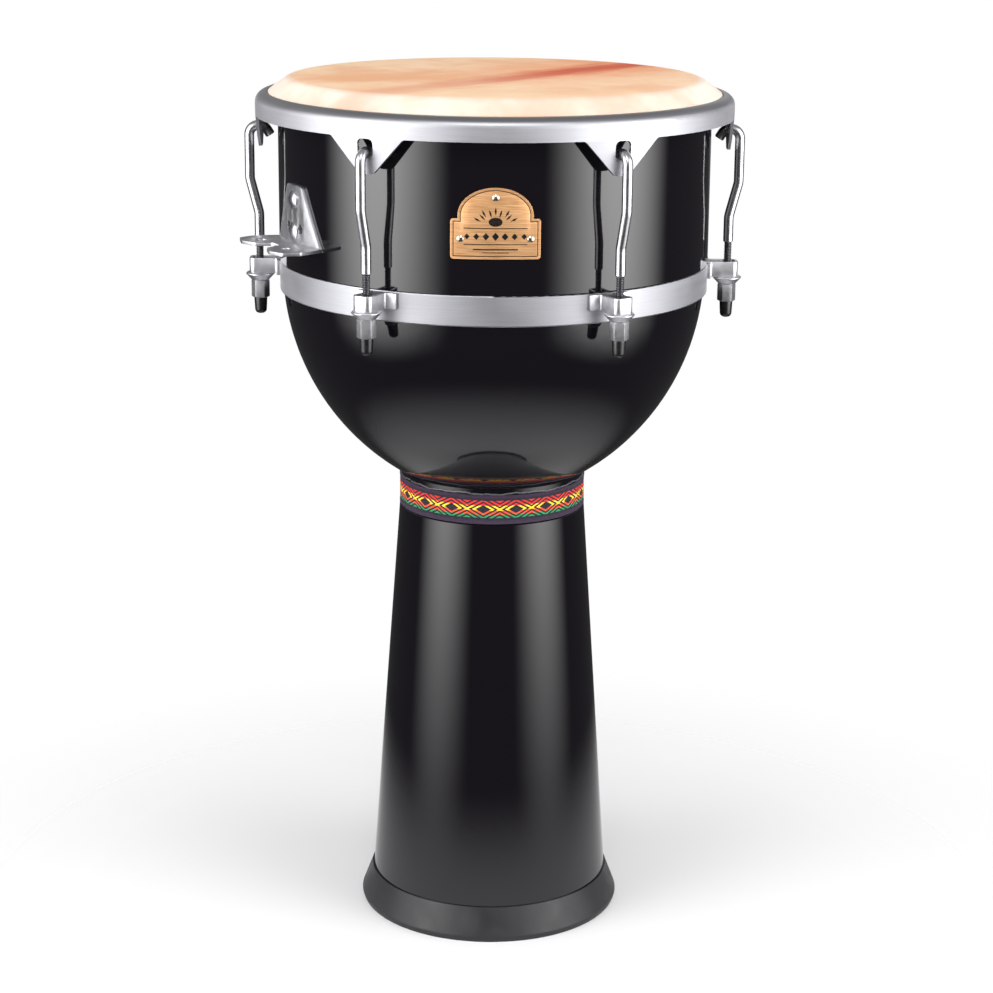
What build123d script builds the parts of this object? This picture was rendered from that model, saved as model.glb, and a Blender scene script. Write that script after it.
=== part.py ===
from build123d import *
from math import asin, cos, degrees, radians, sin, sqrt, tan
import os

# Top-tuned djembe: a goblet drum with one head, pulled down by six hooked rods.
# Millimetres. +Z is up, the floor is Z 0 and the drum's axis is the Z axis.
# The badge faces -Y. Heights of the upper drum are measured down from the head.

# ---- overall sizes ----
head_height = 711.0          # floor to playing surface
shell_radius = 175.6         # outside of the bowl's upright wall
bowl_depth = 343.0           # playing surface down to the glued waist joint
neck_radius = 76.4           # outside of the waist
foot_radius = 102.4          # outside of the foot at its open end
wall = 6.0                   # laminate thickness of bowl and foot
touch = 0.4                  # gap left where two pieces only come close

# ---- bowl and bearing edge ----
bowl_arc_radius = 198.0      # swell of the bowl below the belly band
seat_depth = 3.0             # rebate that the belly band lies in
rim_width = 18.6             # bearing rim, measured in from the shell's outside
rim_height = 24.0
rim_flat = 5.5               # flat land under the skin
rim_arc_radius = 12.8
rim_slope = 36.0             # degrees that the skin falls away outside the land
neck_height = 18.0           # upright neck of the bowl, down to the joint
neck_top_gap = 5.5           # bare neck between the bowl's swell and the woven band

# ---- foot, sleeve, woven band and base ring ----
foot_step = 1.2              # shoulder below the woven band
foot_lift = 5.0              # floor of the base ring, below the foot's edge
sleeve_wall = 4.0
sleeve_length = 34.0
weave_thickness = 1.6
weave_height = 24.5
ring_height = 28.0
ring_spread = 8.9            # how far the ring stands out at its widest, near the floor
ring_widest = 4.0
ring_lip = 1.3
ring_inner_height = 16.0
ring_inner_wall = 4.0

# ---- belly band ----
band_drop = 147.9            # playing surface to the band's top edge
band_height = 24.2
band_thickness = 2.9

# ---- head, hoop and ears ----
skin = 1.2
skirt_gap = 0.6              # skin's skirt to the nearer of hoop lip and flesh hoop
skirt_drop = 23.0
hoop_drop = 12.0             # playing surface to the hoop's top
hoop_height = 18.3
hoop_wall = 3.0
hoop_roll = 8.0              # outside radius of the hoop's rolled top edge
hoop_standoff = 18.1         # hoop's outside, measured out from the shell
hoop_lip = 1.4               # straight end of the rolled edge
flesh_hoop_radius = 2.9      # round bar that carries the skin
ear_drop = 27.2
ear_half_width = 32.0
ear_tip_half_width = 6.0
ear_tip_round = 6.0
ear_root_round = 4.0
ear_plate = 2.4
ear_lean = 2.2               # how far the ear's tip leans in
hole_width = 13.6
hole_top_land = 0.7          # metal between the hole and the hoop's lower edge

# ---- lugs ----
lug_count = 6
rod_diameter = 8.0
thread_diameter = 6.35
hook_bend = 8.0              # centreline radius of the hook
hook_turn = 148.0
hook_tail = 4.9
hook_drop = 49.0             # playing surface to the hook's bend centre
joggle_drop = 84.5           # playing surface to the top of the joggle
joggle_height = 28.0
joggle_round = 16.0
shoulder_drop = 133.5        # playing surface to the thick rod's end
thread_end = 5.0             # thread standing out below the nut
lug_standoff = 16.9          # rod axis, measured out from the shell
strap_height = 12.4          # bracket that the rod passes through
strap_thickness = 2.4
nose_half_width = 8.0
nose_reach = 8.4             # rod axis to the nose's outer face
nose_round = 4.5
tab_length = 9.0
tab_round = 1.8
strap_top_land = 1.2         # bracket's top edge below the band's top edge
washer_radius = 12.0
washer_seat_radius = 7.2
washer_height = 6.4
washer_rim = 2.6
nut_across_flats = 13.0
nut_height = 14.6
nut_chamfer = 30.0           # degrees of the cone that rounds the nut's ends
nut_collar = 0.3             # round land of the nut's ends, in from its flats
cap_length = 13.6
cap_wall = 1.9
cap_fit = 0.325              # radial clearance, cap over the thread's end
cap_taper = 3.0
cap_end = 3.6
thread_fit = 0.05            # radial running clearance, thread in nut
loose_fit = 0.5              # radial clearance, thread in washer

# ---- badge ----
badge_angle = 270.5
badge_drop = 119.7           # playing surface to the badge's lower edge
badge_width = 68.0
badge_shoulder = 30.5
badge_height = 54.0
badge_arch_width = 57.0
badge_arch_rise = 21.0       # height of the half-oval top
badge_thickness = 1.2
badge_corner = 2.0
pin_head_radius = 2.6
pin_head_height = 1.3
pin_shank_radius = 1.0
pin_depth = 3.0              # shank in the shell's wall
pin_inset = 7.5

# ---- strap bracket ----
bracket_angle = 208.0
bracket_drop = 78.0          # playing surface to the plate's top edge
bracket_plate = 2.5
plate_height = 48.0
plate_top_half = 13.5
plate_bottom_half = 40.0
plate_round = 4.0
plate_bend = 1.5             # inside radius where the plate turns out
horn_reach = 36.0            # how far the horns stand out from the shell
horn_half_width = 47.0
horn_tip_half = 28.0
notch_floor = 17.5           # floor of the notch, measured out from the shell
notch_mouth_half = 13.0
notch_floor_half = 6.0
horn_round = 4.5
strap_hole_radius = 3.5
strap_hole_out = 20.0        # hole's centre, measured out from the shell
strap_hole_side = 24.0
screw_head_radius = 7.2
screw_head_height = 3.4
screw_shank_radius = 3.0
spare_hole_radius = 4.0      # empty holes each side of the lower screw
spare_hole_side = 11.2
spare_hole_rise = 3.0
screw_top_inset = 11.6
screw_pitch = 24.9
inner_washer_radius = 8.0
inner_washer = 1.5
inner_nut_flats = 10.0
inner_nut = 5.0
screw_end = 1.5

# ---- worked out from the sizes above ----
rim_top = head_height - skin
waist = head_height - bowl_depth
neck_top = waist + neck_height
weave_bottom = neck_top - neck_top_gap - weave_height
band_top = head_height - band_drop
band_bottom = band_top - band_height
band_middle = (band_top + band_bottom) / 2
seat_radius = shell_radius - seat_depth
band_radius = seat_radius + band_thickness
bore_radius = neck_radius - wall
hoop_radius = shell_radius + hoop_standoff
hoop_top = head_height - hoop_drop
hoop_bottom = hoop_top - hoop_height
ear_tip = hoop_bottom - ear_drop
lug_radius = shell_radius + lug_standoff
strap_top = band_top - strap_top_land
strap_bottom = strap_top - strap_height
nut_top = strap_bottom - washer_height
nut_bottom = nut_top - nut_height
rod_end = nut_bottom - thread_end
hook_centre = head_height - hook_drop
hole_bottom = hook_centre + hook_bend - rod_diameter / 2 - touch
lug_angles = [360.0 * i / lug_count for i in range(lug_count)]
badge_bottom = head_height - badge_drop
badge_face = shell_radius + badge_thickness
pin_side_angle = degrees(asin((badge_width / 2 - pin_inset) / badge_face))
pin_places = [
    (badge_angle, badge_bottom + badge_height - pin_inset),
    (badge_angle - pin_side_angle, badge_bottom + badge_shoulder / 2),
    (badge_angle + pin_side_angle, badge_bottom + badge_shoulder / 2),
]
plate_top = head_height - bracket_drop
plate_bottom = plate_top - plate_height
plate_face = shell_radius + bracket_plate
screw_heights = [plate_top - screw_top_inset, plate_top - screw_top_inset - screw_pitch]


def radial_plane(angle):
    """Upright plane through the drum's axis: x runs outward at the angle, y is up."""
    out = (cos(radians(angle)), sin(radians(angle)), 0)
    side = (sin(radians(angle)), -cos(radians(angle)), 0)
    return Plane(origin=(0, 0, 0), x_dir=out, z_dir=side)


def level_plane(angle, height):
    """Level plane at a height: x runs outward at the angle."""
    out = (cos(radians(angle)), sin(radians(angle)), 0)
    return Plane(origin=(0, 0, height), x_dir=out, z_dir=(0, 0, 1))


def facing_plane(angle, height):
    """Upright plane on the drum's axis that looks outward: x runs sideways, y is up."""
    out = (cos(radians(angle)), sin(radians(angle)), 0)
    side = (-sin(radians(angle)), cos(radians(angle)), 0)
    return Plane(origin=(0, 0, height), x_dir=side, z_dir=out)


def keep(piece, name):
    """Label a finished piece and write its STEP file."""
    piece.part.label = name
    export_step(piece.part, f"parts/{name}.step")


os.makedirs("parts", exist_ok=True)

# ======================= shell =======================

# The bearing rim: a flat land, a rounded shoulder, then a straight slope.
land_outer = shell_radius - rim_width + rim_flat
slope_start = land_outer + rim_arc_radius * sin(radians(rim_slope))
slope_start_height = rim_top - rim_arc_radius * (1 - cos(radians(rim_slope)))


def slope_height(radius):
    """Height of the bearing edge's slope at a radius."""
    return slope_start_height - (radius - slope_start) * tan(radians(rim_slope))


inside_radius = shell_radius - wall
ring_joint = max(inside_radius, slope_start)

with BuildPart() as bearing_ring:
    with BuildSketch(Plane.XZ):
        with BuildLine():
            land = Line((shell_radius - rim_width, rim_top), (land_outer, rim_top))
            shoulder = JernArc(land @ 1, (1, 0), rim_arc_radius, -rim_slope)
            Polyline(
                shoulder @ 1,
                (ring_joint, slope_height(ring_joint)),
                (inside_radius, slope_height(ring_joint)),
                (inside_radius, rim_top - rim_height),
                (shell_radius - rim_width, rim_top - rim_height / 2),
                land @ 0,
            )
        make_face()
    revolve(axis=Axis.Z)
keep(bearing_ring, "bearing_ring")

# The upright wall and the cup below it meet halfway down the belly band.
with BuildPart() as bowl_wall:
    with BuildSketch(Plane.XZ):
        with BuildLine():
            Polyline(
                (inside_radius, slope_height(ring_joint)),
                (ring_joint, slope_height(ring_joint)),
                (shell_radius, slope_height(shell_radius)),
                (shell_radius, band_top + touch),
                (seat_radius, band_top + touch),
                (seat_radius, band_middle),
                (inside_radius, band_middle),
                close=True,
            )
        make_face()
    revolve(axis=Axis.Z)
    for height in screw_heights:
        with BuildSketch(facing_plane(bracket_angle, height)):
            Circle(screw_shank_radius)
        extrude(amount=shell_radius + wall, mode=Mode.SUBTRACT)
    for angle, height in pin_places:
        with BuildSketch(facing_plane(angle, height).offset(shell_radius - pin_depth)):
            Circle(pin_shank_radius)
        extrude(amount=2 * pin_depth, mode=Mode.SUBTRACT)
keep(bowl_wall, "bowl_wall")

with BuildPart() as bowl_shell:
    with BuildSketch(Plane.XZ):
        with BuildLine():
            upright = Polyline(
                (inside_radius, band_middle),
                (seat_radius, band_middle),
                (seat_radius, band_bottom),
            )
            swell = RadiusArc(upright @ 1, (neck_radius + 1, neck_top), bowl_arc_radius)
            neck = Polyline(
                swell @ 1,
                (neck_radius, neck_top - 1),
                (neck_radius, waist),
                (bore_radius, waist),
                (bore_radius, neck_top + wall / 2),
            )
            inner_swell = RadiusArc(
                neck @ 1,
                (inside_radius, band_bottom + wall / 2),
                -(bowl_arc_radius - wall),
            )
            Line(inner_swell @ 1, upright @ 0)
        make_face()
    revolve(axis=Axis.Z)
keep(bowl_shell, "bowl_shell")

foot_slope = (foot_radius - neck_radius - foot_step) / (weave_bottom - foot_lift)


def foot_outside(height):
    """Outside radius of the conical foot at a height."""
    return foot_radius - foot_slope * (height - foot_lift)


def foot_inside(height):
    """Inside radius of the conical foot at a height."""
    share = (height - foot_lift) / (weave_bottom - foot_step - foot_lift)
    return foot_radius - wall - (foot_radius - wall - bore_radius) * share


with BuildPart() as foot_shell:
    with BuildSketch(Plane.XZ):
        with BuildLine():
            Polyline(
                (neck_radius, waist),
                (neck_radius, weave_bottom),
                (foot_outside(weave_bottom - foot_step), weave_bottom - foot_step),
                (foot_radius, foot_lift),
                (foot_radius - wall, foot_lift),
                (bore_radius, weave_bottom - foot_step),
                (bore_radius, waist),
                close=True,
            )
        make_face()
    revolve(axis=Axis.Z)
keep(foot_shell, "foot_shell")

with BuildPart() as neck_sleeve:
    with BuildSketch(Plane.XY.offset(waist - min(sleeve_length / 2, waist - weave_bottom))):
        Circle(bore_radius)
        Circle(bore_radius - sleeve_wall, mode=Mode.SUBTRACT)
    extrude(amount=sleeve_length)
    chamfer(neck_sleeve.edges().filter_by(GeomType.CIRCLE).group_by(SortBy.RADIUS)[0], 1)
keep(neck_sleeve, "neck_sleeve")

with BuildPart() as woven_band:
    with BuildSketch(Plane.XY.offset(weave_bottom)):
        Circle(neck_radius + weave_thickness)
        Circle(neck_radius, mode=Mode.SUBTRACT)
    extrude(amount=weave_height)
    fillet(woven_band.edges().filter_by(GeomType.CIRCLE).group_by(SortBy.RADIUS)[-1], 0.5)
keep(woven_band, "woven_band")

with BuildPart() as base_ring:
    with BuildSketch(Plane.XZ):
        with BuildLine():
            Polyline(
                (foot_radius - wall - ring_inner_wall, 0),
                (foot_radius + ring_spread - 1.5, 0),
                (foot_radius + ring_spread, ring_widest),
                (foot_outside(ring_height) + ring_lip, ring_height),
                (foot_outside(ring_height), ring_height),
                (foot_radius, foot_lift),
                (foot_radius - wall - touch, foot_lift),
                (foot_inside(ring_inner_height) - touch, ring_inner_height),
                (foot_radius - wall - ring_inner_wall, ring_inner_height),
                close=True,
            )
        make_face()
    revolve(axis=Axis.Z)
    rim_edges = base_ring.edges().filter_by(GeomType.CIRCLE)
    fillet(rim_edges.group_by(SortBy.RADIUS)[-1], 3)
keep(base_ring, "base_ring")

# ======================= belly band and lug brackets =======================

with BuildPart() as belly_band:
    with BuildSketch(Plane.XY.offset(band_bottom)):
        Circle(band_radius)
        Circle(seat_radius, mode=Mode.SUBTRACT)
    extrude(amount=band_height)
    fillet(belly_band.edges().filter_by(GeomType.CIRCLE).group_by(SortBy.RADIUS)[-1], 1)
keep(belly_band, "belly_band")


def lug_bracket(angle):
    """U-shaped steel strap welded to the band by two tabs, its nose round the rod."""
    tab_half = nose_half_width + tab_length
    nose_front = lug_radius + nose_reach
    with BuildPart() as bracket:
        with BuildSketch(level_plane(angle, strap_bottom)) as plan:
            with BuildLine():
                Polyline(
                    (seat_radius, tab_half),
                    (band_radius + strap_thickness, tab_half),
                    (band_radius + strap_thickness, nose_half_width),
                    (nose_front, nose_half_width),
                    (nose_front, -nose_half_width),
                    (band_radius + strap_thickness, -nose_half_width),
                    (band_radius + strap_thickness, -tab_half),
                    (seat_radius, -tab_half),
                    close=True,
                )
            make_face()
            fillet(plan.vertices().group_by(Axis.X)[-1], nose_round)
            bends = plan.vertices().filter_by(
                lambda v: v.X > band_radius and abs(abs(v.Y) - nose_half_width) < touch
            )
            fillet(bends.group_by(Axis.X)[0], tab_round)
            with BuildLine():
                Polyline(
                    (seat_radius, nose_half_width - strap_thickness),
                    (nose_front - strap_thickness, nose_half_width - strap_thickness),
                    (nose_front - strap_thickness, strap_thickness - nose_half_width),
                    (seat_radius, strap_thickness - nose_half_width),
                    close=True,
                )
            make_face(mode=Mode.SUBTRACT)
            Circle(band_radius, mode=Mode.SUBTRACT)
        extrude(amount=strap_height)
        inner_corners = bracket.edges().filter_by(Axis.Z).filter_by(
            lambda e: abs(
                level_plane(angle, 0).to_local_coords(e.center()).X - nose_front + strap_thickness
            ) < touch
            and abs(level_plane(angle, 0).to_local_coords(e.center()).Y) < nose_half_width
            - strap_thickness + touch
        )
        fillet(inner_corners, nose_round - strap_thickness)
    return bracket


for i, angle in enumerate(lug_angles, start=1):
    keep(lug_bracket(angle), f"lug_bracket_{i}")

# ======================= head and flesh hoop =======================

outer_arc_radius = rim_arc_radius + skin
lip_reach = hoop_roll + hoop_lip
flesh_reach = hoop_wall + touch + 2 * flesh_hoop_radius
skirt_outer = hoop_radius - max(lip_reach, flesh_reach) - skirt_gap

with BuildPart() as drum_head:
    with BuildSketch(Plane.XZ):
        with BuildLine():
            top = Line((0, head_height), (land_outer, head_height))
            bend = JernArc(top @ 1, (1, 0), outer_arc_radius, -rim_slope)
            fall = Line(
                bend @ 1,
                (skirt_outer, (bend @ 1).Y - (skirt_outer - (bend @ 1).X) * tan(radians(rim_slope))),
            )
            skirt = Polyline(
                fall @ 1,
                (skirt_outer, head_height - skirt_drop),
                (skirt_outer - skin, head_height - skirt_drop),
                (skirt_outer - skin, slope_start_height
                 - (skirt_outer - skin - slope_start) * tan(radians(rim_slope))),
            )
            under = Line(skirt @ 1, (slope_start, slope_start_height))
            inner_bend = JernArc(under @ 1, under % 1, rim_arc_radius, rim_slope)
            Polyline(inner_bend @ 1, (0, rim_top), top @ 0)
        make_face()
    revolve(axis=Axis.Z)
keep(drum_head, "drum_head")

flesh_ring_radius = hoop_radius - hoop_wall - touch - flesh_hoop_radius

with BuildPart() as flesh_hoop:
    with BuildSketch(Plane.XZ):
        with Locations((flesh_ring_radius, hoop_top - hoop_roll - 1)):
            Circle(flesh_hoop_radius)
    revolve(axis=Axis.Z)
keep(flesh_hoop, "flesh_hoop")

# ======================= tuning hoop with its ears =======================

ear_blank_depth = 4 * hoop_wall + 2 * ear_lean
ear_root_half = ear_half_width + 2 * ear_root_round

with BuildPart() as ear_blanks:
    for angle in lug_angles:
        with BuildSketch(facing_plane(angle, 0)) as outline:
            with BuildLine():
                Polyline(
                    (-ear_root_half, hoop_bottom + hoop_wall),
                    (-ear_root_half, hoop_bottom),
                    (-ear_half_width, hoop_bottom),
                    (-ear_tip_half_width, ear_tip),
                    (ear_tip_half_width, ear_tip),
                    (ear_half_width, hoop_bottom),
                    (ear_root_half, hoop_bottom),
                    (ear_root_half, hoop_bottom + hoop_wall),
                    close=True,
                )
            make_face()
            fillet(outline.vertices().group_by(Axis.Y)[0], ear_tip_round)
            roots = outline.vertices().group_by(Axis.Y)[-2].filter_by(
                lambda v: abs(v.X) < ear_root_half - touch
            )
            fillet(roots, ear_root_round)
        extrude(amount=hoop_radius + ear_blank_depth)

with BuildPart() as tuning_hoop:
    with BuildSketch(Plane.XZ):
        with BuildLine():
            Polyline(
                (hoop_radius, hoop_bottom + hoop_wall),
                (hoop_radius, hoop_bottom),
                (hoop_radius - ear_lean, ear_tip),
                (hoop_radius - ear_lean - ear_plate, ear_tip),
                (hoop_radius - ear_plate, hoop_bottom),
                (hoop_radius - ear_plate, hoop_bottom + hoop_wall),
                close=True,
            )
        make_face()
    revolve(axis=Axis.Z)
    add(ear_blanks.part, mode=Mode.INTERSECT)
    with BuildSketch(Plane.XZ):
        with BuildLine():
            outside = Polyline(
                (hoop_radius - hoop_wall, hoop_bottom),
                (hoop_radius, hoop_bottom),
                (hoop_radius, hoop_top - hoop_roll),
            )
            roll = JernArc(outside @ 1, (0, 1), hoop_roll, 90)
            lip = Polyline(
                roll @ 1,
                (hoop_radius - hoop_roll - hoop_lip, hoop_top),
                (hoop_radius - hoop_roll - hoop_lip, hoop_top - hoop_wall),
                (hoop_radius - hoop_roll, hoop_top - hoop_wall),
            )
            inside = JernArc(lip @ 1, (1, 0), hoop_roll - hoop_wall, -90)
            Line(inside @ 1, outside @ 0)
        make_face()
    revolve(axis=Axis.Z)
    hole_height = hoop_bottom - hole_top_land - hole_bottom
    for angle in lug_angles:
        with BuildSketch(facing_plane(angle, hole_bottom + hole_height / 2)):
            RectangleRounded(hole_width, hole_height, 0.3 * min(hole_width, hole_height))
        extrude(amount=hoop_radius + ear_blank_depth, mode=Mode.SUBTRACT)
keep(tuning_hoop, "tuning_hoop")

# ======================= hooked rods, washers, nuts and end caps =======================

ear_centre = hoop_radius - ear_plate / 2 - ear_lean * (hoop_bottom - hook_centre - hook_bend) / ear_drop
upper_axis = ear_centre + hook_bend
shoulder_height = head_height - shoulder_drop
joggle_top = head_height - joggle_drop


def lug_axis(angle):
    """Upright axis of the rod's lower end."""
    return Axis((lug_radius * cos(radians(angle)), lug_radius * sin(radians(angle)), 0), (0, 0, 1))


def hook_rod(angle):
    """Rod: thread, thick shank, joggle outward, then a hook over the ear."""
    with BuildPart() as rod:
        with BuildLine(radial_plane(angle)):
            shank = FilletPolyline(
                (lug_radius, shoulder_height),
                (lug_radius, joggle_top - joggle_height),
                (upper_axis, joggle_top),
                (upper_axis, hook_centre),
                radius=joggle_round,
            )
            hook = JernArc(shank @ 1, shank % 1, hook_bend, hook_turn)
            Line(hook @ 1, hook @ 1 + (hook % 1) * hook_tail)
        with BuildSketch(level_plane(angle, shoulder_height)):
            with Locations((lug_radius, 0)):
                Circle(rod_diameter / 2)
        sweep()
        with BuildSketch(level_plane(angle, rod_end)):
            with Locations((lug_radius, 0)):
                Circle(thread_diameter / 2)
        extrude(amount=shoulder_height - rod_end)
    return rod


def dish_washer(angle):
    """Dished washer: flat under the bracket, rolled rim, narrow seat for the nut."""
    bore = thread_diameter / 2 + loose_fit
    with BuildPart() as washer:
        with BuildSketch(radial_plane(angle)) as section:
            with BuildLine():
                Polyline(
                    (lug_radius + bore, strap_bottom),
                    (lug_radius + washer_radius - washer_rim / 2, strap_bottom),
                    (lug_radius + washer_radius, strap_bottom - washer_rim / 2),
                    (lug_radius + washer_radius - washer_rim / 2, strap_bottom - washer_rim),
                    (lug_radius + washer_seat_radius, nut_top),
                    (lug_radius + bore, nut_top),
                    close=True,
                )
            make_face()
            fillet(section.vertices().sort_by(Axis.X)[-1], washer_rim / 3)
        revolve(axis=lug_axis(angle))
    return washer


def tuning_nut(angle):
    """Long hexagon nut with a plain bore that runs on the thread, and coned ends."""
    land = nut_across_flats / 2 - nut_collar
    corner = nut_across_flats / 2 / cos(radians(30))
    cone = (corner - land) * tan(radians(nut_chamfer))
    with BuildPart() as nut:
        with BuildSketch(level_plane(angle, nut_bottom)):
            with Locations((lug_radius, 0)):
                RegularPolygon(nut_across_flats / 2, 6, major_radius=False)
                Circle(thread_diameter / 2 + thread_fit, mode=Mode.SUBTRACT)
        extrude(amount=nut_height)
        with BuildSketch(radial_plane(angle)):
            with BuildLine():
                Polyline(
                    (lug_radius, nut_bottom),
                    (lug_radius + land, nut_bottom),
                    (lug_radius + corner, nut_bottom + cone),
                    (lug_radius + corner, nut_top - cone),
                    (lug_radius + land, nut_top),
                    (lug_radius, nut_top),
                    close=True,
                )
            make_face()
        revolve(axis=lug_axis(angle), mode=Mode.INTERSECT)
    return nut


def end_cap(angle):
    """Hollow plastic cap below the nut, round-ended, over the thread's end."""
    cap_bore = thread_diameter / 2 + cap_fit
    with BuildPart() as cap:
        with BuildSketch(level_plane(angle, nut_bottom)):
            with Locations((lug_radius, 0)):
                Circle(cap_bore + cap_wall)
        extrude(amount=-cap_length, taper=cap_taper)
        fillet(cap.faces().sort_by(Axis.Z)[0].edges(), cap_end)
        with BuildSketch(level_plane(angle, nut_bottom)):
            with Locations((lug_radius, 0)):
                Circle(cap_bore)
        extrude(amount=-(cap_length - cap_wall), mode=Mode.SUBTRACT)
    return cap


for i, angle in enumerate(lug_angles, start=1):
    keep(hook_rod(angle), f"hook_rod_{i}")
    keep(dish_washer(angle), f"dish_washer_{i}")
    keep(tuning_nut(angle), f"tuning_nut_{i}")
    keep(end_cap(angle), f"end_cap_{i}")

# ======================= badge =======================

arch_base = badge_height - badge_arch_rise

with BuildPart() as badge_plate:
    with BuildSketch(facing_plane(badge_angle, badge_bottom)) as outline:
        with BuildLine():
            Polyline(
                (-badge_arch_width / 2, arch_base),
                (-badge_arch_width / 2, badge_shoulder),
                (-badge_width / 2, badge_shoulder),
                (-badge_width / 2, 0),
                (badge_width / 2, 0),
                (badge_width / 2, badge_shoulder),
                (badge_arch_width / 2, badge_shoulder),
                (badge_arch_width / 2, arch_base),
            )
            EllipticalCenterArc(
                (0, arch_base), badge_arch_width / 2, badge_arch_rise, start_angle=0, arc_size=180
            )
        make_face()
        fillet(outline.vertices().group_by(Axis.Y)[0], badge_corner)
        shoulders = outline.vertices().filter_by(lambda v: abs(v.Y - badge_shoulder) < touch)
        fillet(shoulders.filter_by(lambda v: abs(v.X) > badge_arch_width / 2 + touch), badge_corner)
    extrude(amount=shell_radius + 2 * badge_thickness)
    with BuildSketch(Plane.XY.offset(badge_bottom - badge_thickness)):
        Circle(badge_face)
        Circle(shell_radius, mode=Mode.SUBTRACT)
    extrude(amount=badge_height + 2 * badge_thickness, mode=Mode.INTERSECT)
    for angle, height in pin_places:
        with BuildSketch(facing_plane(angle, height)):
            Circle(pin_shank_radius)
        extrude(amount=shell_radius + 2 * badge_thickness, mode=Mode.SUBTRACT)
keep(badge_plate, "badge_plate")


def round_headed(face, head_radius, head_out, shank_radius, shank_end, angle, height):
    """Domed head against a face, on a shank that runs in along the angle."""
    level = level_plane(angle, height)
    brim_out = head_out / 3
    dome = head_out - brim_out
    with BuildPart() as fastener:
        with BuildSketch(level):
            with BuildLine():
                flat = Polyline(
                    (face + head_out, 0),
                    (shank_end, 0),
                    (shank_end, shank_radius),
                    (face, shank_radius),
                    (face, head_radius),
                    (face + brim_out, head_radius),
                )
                RadiusArc(flat @ 1, flat @ 0, (head_radius**2 + dome**2) / (2 * dome))
            make_face()
        revolve(axis=Axis((0, 0, height), level.x_dir))
    return fastener.part


with BuildPart() as badge_pins:
    for angle, height in pin_places:
        add(round_headed(
            badge_face, pin_head_radius, pin_head_height,
            pin_shank_radius, shell_radius - pin_depth, angle, height,
        ))
keep(badge_pins, "badge_pins")

# ======================= strap bracket =======================

horn_outline = [
    (shell_radius - plate_round, plate_bottom_half),
    (shell_radius + notch_floor, horn_half_width),
    (shell_radius + horn_reach - horn_round, horn_half_width - horn_round),
    (shell_radius + horn_reach, horn_tip_half),
    (shell_radius + horn_reach - horn_round, notch_mouth_half),
    (shell_radius + notch_floor, notch_floor_half),
]
mirrored_outline = [(out, -side) for out, side in reversed(horn_outline)]

with BuildPart() as horn_flange:
    with BuildSketch(level_plane(bracket_angle, plate_bottom)) as outline:
        with BuildLine():
            Polyline(horn_outline + mirrored_outline, close=True)
        make_face()
        fillet(outline.vertices().filter_by(lambda v: v.X > shell_radius), horn_round)
        with Locations(
            (shell_radius + strap_hole_out, strap_hole_side),
            (shell_radius + strap_hole_out, -strap_hole_side),
        ):
            Circle(strap_hole_radius, mode=Mode.SUBTRACT)
    extrude(amount=bracket_plate)
    with BuildSketch(Plane.XY.offset(plate_bottom)):
        Circle(shell_radius)
    extrude(amount=bracket_plate, mode=Mode.SUBTRACT)

with BuildPart() as strap_bracket:
    with BuildSketch(facing_plane(bracket_angle, plate_bottom)) as outline:
        with BuildLine():
            Polyline(
                (-plate_bottom_half, 0),
                (plate_bottom_half, 0),
                (plate_top_half, plate_height),
                (-plate_top_half, plate_height),
                close=True,
            )
        make_face()
        fillet(outline.vertices().group_by(Axis.Y)[-1], plate_round)
    extrude(amount=plate_face + bracket_plate)
    with BuildSketch(Plane.XY.offset(plate_bottom)):
        Circle(plate_face)
        Circle(shell_radius, mode=Mode.SUBTRACT)
    extrude(amount=plate_height, mode=Mode.INTERSECT)
    add(horn_flange.part)
    inside_bend = strap_bracket.edges().filter_by(GeomType.CIRCLE).filter_by(
        lambda e: abs(e.radius - plate_face) < 0.01
        and abs(e.center().Z - plate_bottom - bracket_plate) < 0.01
    )
    fillet(inside_bend, plate_bend)
    for height in screw_heights:
        with BuildSketch(facing_plane(bracket_angle, height)):
            Circle(screw_shank_radius)
        extrude(amount=plate_face + bracket_plate, mode=Mode.SUBTRACT)
    with BuildSketch(facing_plane(bracket_angle, screw_heights[-1] + spare_hole_rise)):
        with Locations((-spare_hole_side, 0), (spare_hole_side, 0)):
            Circle(spare_hole_radius)
    extrude(amount=plate_face + bracket_plate, mode=Mode.SUBTRACT)
keep(strap_bracket, "strap_bracket")

# A flat washer on the curved inside of the shell bears on its rim.
inner_seat = sqrt(inside_radius**2 - inner_washer_radius**2)
nut_seat = inner_seat - inner_washer

with BuildPart() as bracket_screws:
    for height in screw_heights:
        add(round_headed(
            plate_face, screw_head_radius, screw_head_height,
            screw_shank_radius, nut_seat - inner_nut - screw_end, bracket_angle, height,
        ))
keep(bracket_screws, "bracket_screws")

with BuildPart() as bracket_washers:
    for height in screw_heights:
        with BuildSketch(facing_plane(bracket_angle, height).offset(nut_seat)):
            Circle(inner_washer_radius)
            Circle(screw_shank_radius + touch, mode=Mode.SUBTRACT)
        extrude(amount=inner_washer)
keep(bracket_washers, "bracket_washers")

with BuildPart() as bracket_nuts:
    for height in screw_heights:
        with BuildSketch(facing_plane(bracket_angle, height).offset(nut_seat - inner_nut)):
            RegularPolygon(inner_nut_flats / 2, 6, major_radius=False)
            Circle(screw_shank_radius, mode=Mode.SUBTRACT)
        extrude(amount=inner_nut)
keep(bracket_nuts, "bracket_nuts")
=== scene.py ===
import bpy
from math import atan2, cos, pi, radians, sin, sqrt
from mathutils import Matrix, Vector


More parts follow.
